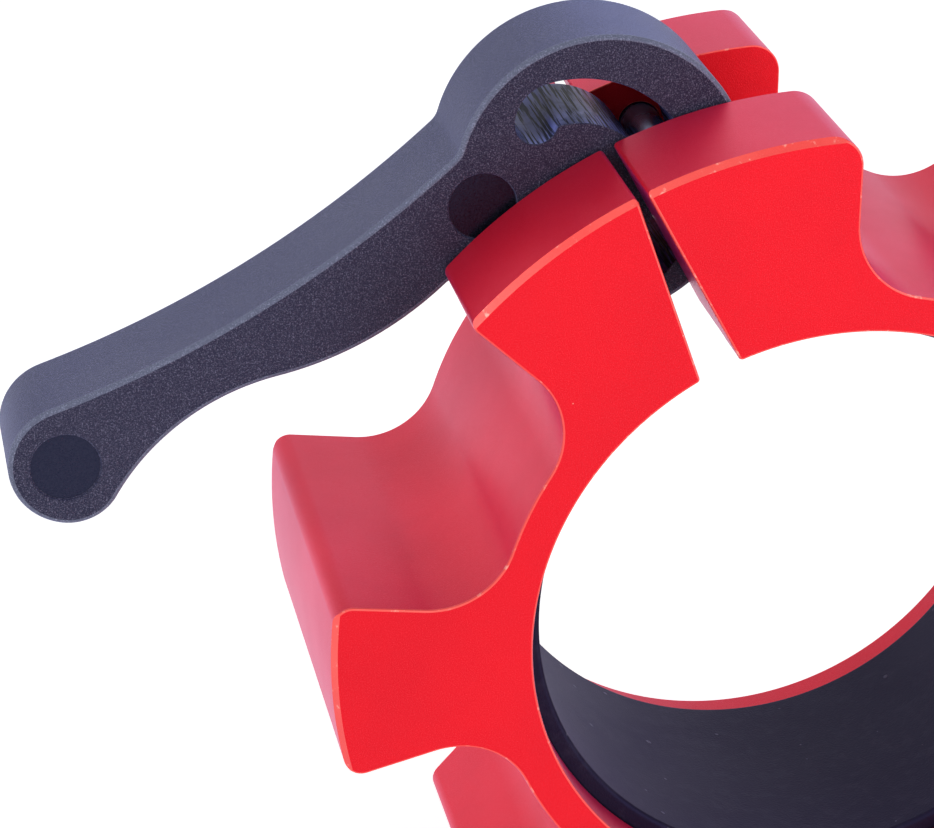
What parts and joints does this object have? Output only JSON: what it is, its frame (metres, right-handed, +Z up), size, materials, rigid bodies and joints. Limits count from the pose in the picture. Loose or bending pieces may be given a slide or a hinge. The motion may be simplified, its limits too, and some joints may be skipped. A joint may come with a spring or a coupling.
{
  "type": "barbell collar",
  "caption": "Lobed aluminium clamp ring with a rubber-lined bore, split through its wide lobe and drawn closed on a bar sleeve by a hinged cam lever.",
  "frame": {"origin": "on the bore axis, in the plane of the back face that bears on the weight plate", "axes": "+Y along the bore axis, out of the plate face; the front faces -Y; +Z up with the ring standing on two of its lobes; +X to the right seen from the front"},
  "size_m": [0.1148, 0.0363, 0.0905],
  "materials": {
    "red_anodised": "bead blasted and red anodised, with small bright chamfers",
    "black_rubber": "matte moulded rubber with a little dust",
    "dark_steel": "ground and oiled dowel steel",
    "black_nylon": "glass-filled nylon, fine spark-eroded grain"
  },
  "bodies": {
    "clamp": {"clamp_body": "red_anodised", "liner": "black_rubber", "pivot_pin": "dark_steel", "cam_pin": "dark_steel"},
    "cam_lever": {"lever": "black_nylon"}
  },
  "joints": [
    {"name": "lever_hinge", "type": "hinge", "parent": "clamp", "child": "cam_lever", "pos_m": [-0.02322, -0.01795, 0.03403], "axis": [0, -1, 0], "range_deg": [-92, 25]}
  ]
}
